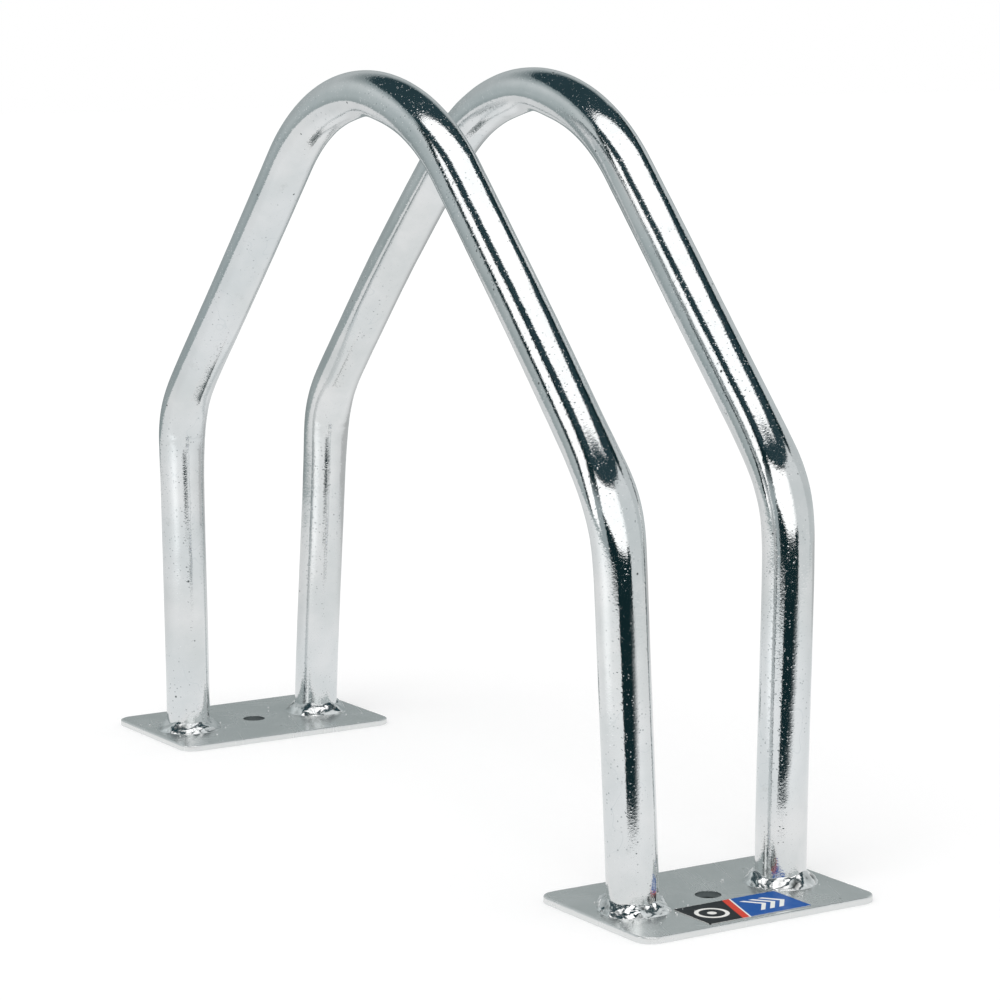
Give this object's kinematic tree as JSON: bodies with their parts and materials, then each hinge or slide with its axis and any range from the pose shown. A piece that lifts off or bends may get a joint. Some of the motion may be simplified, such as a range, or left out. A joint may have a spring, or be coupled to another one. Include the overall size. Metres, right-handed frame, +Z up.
{
  "type": "bicycle rack",
  "caption": "Bent tube bicycle rack: twin arched hoops welded to flat base plates with anchor holes, holding a wheel upright between them.",
  "frame": {"origin": "on the floor, at the middle of the rectangle that the four feet make", "axes": "+X along the parked wheel, from the left plate to the right plate; +Y across it, from the front hoop to the rear hoop; +Z up"},
  "size_m": [0.48, 0.12, 0.3419],
  "materials": {
    "zinc_tube": "bright zinc plated drawn steel tube, semi-gloss with streaks and fine pits",
    "zinc_plate": "bright zinc plated hot rolled flat steel, satin, with pale sheared edges",
    "zinc_weld": "zinc plated weld metal, lumpy and bright",
    "label_film": "printed vinyl film with plain colour fields"
  },
  "bodies": {
    "root": {"hoop_front": "zinc_tube", "hoop_rear": "zinc_tube", "base_plate_left": "zinc_plate", "base_plate_right": "zinc_plate", "weld_front_left": "zinc_weld", "weld_front_right": "zinc_weld", "weld_rear_left": "zinc_weld", "weld_rear_right": "zinc_weld", "label": "label_film"}
  },
  "joints": []
}
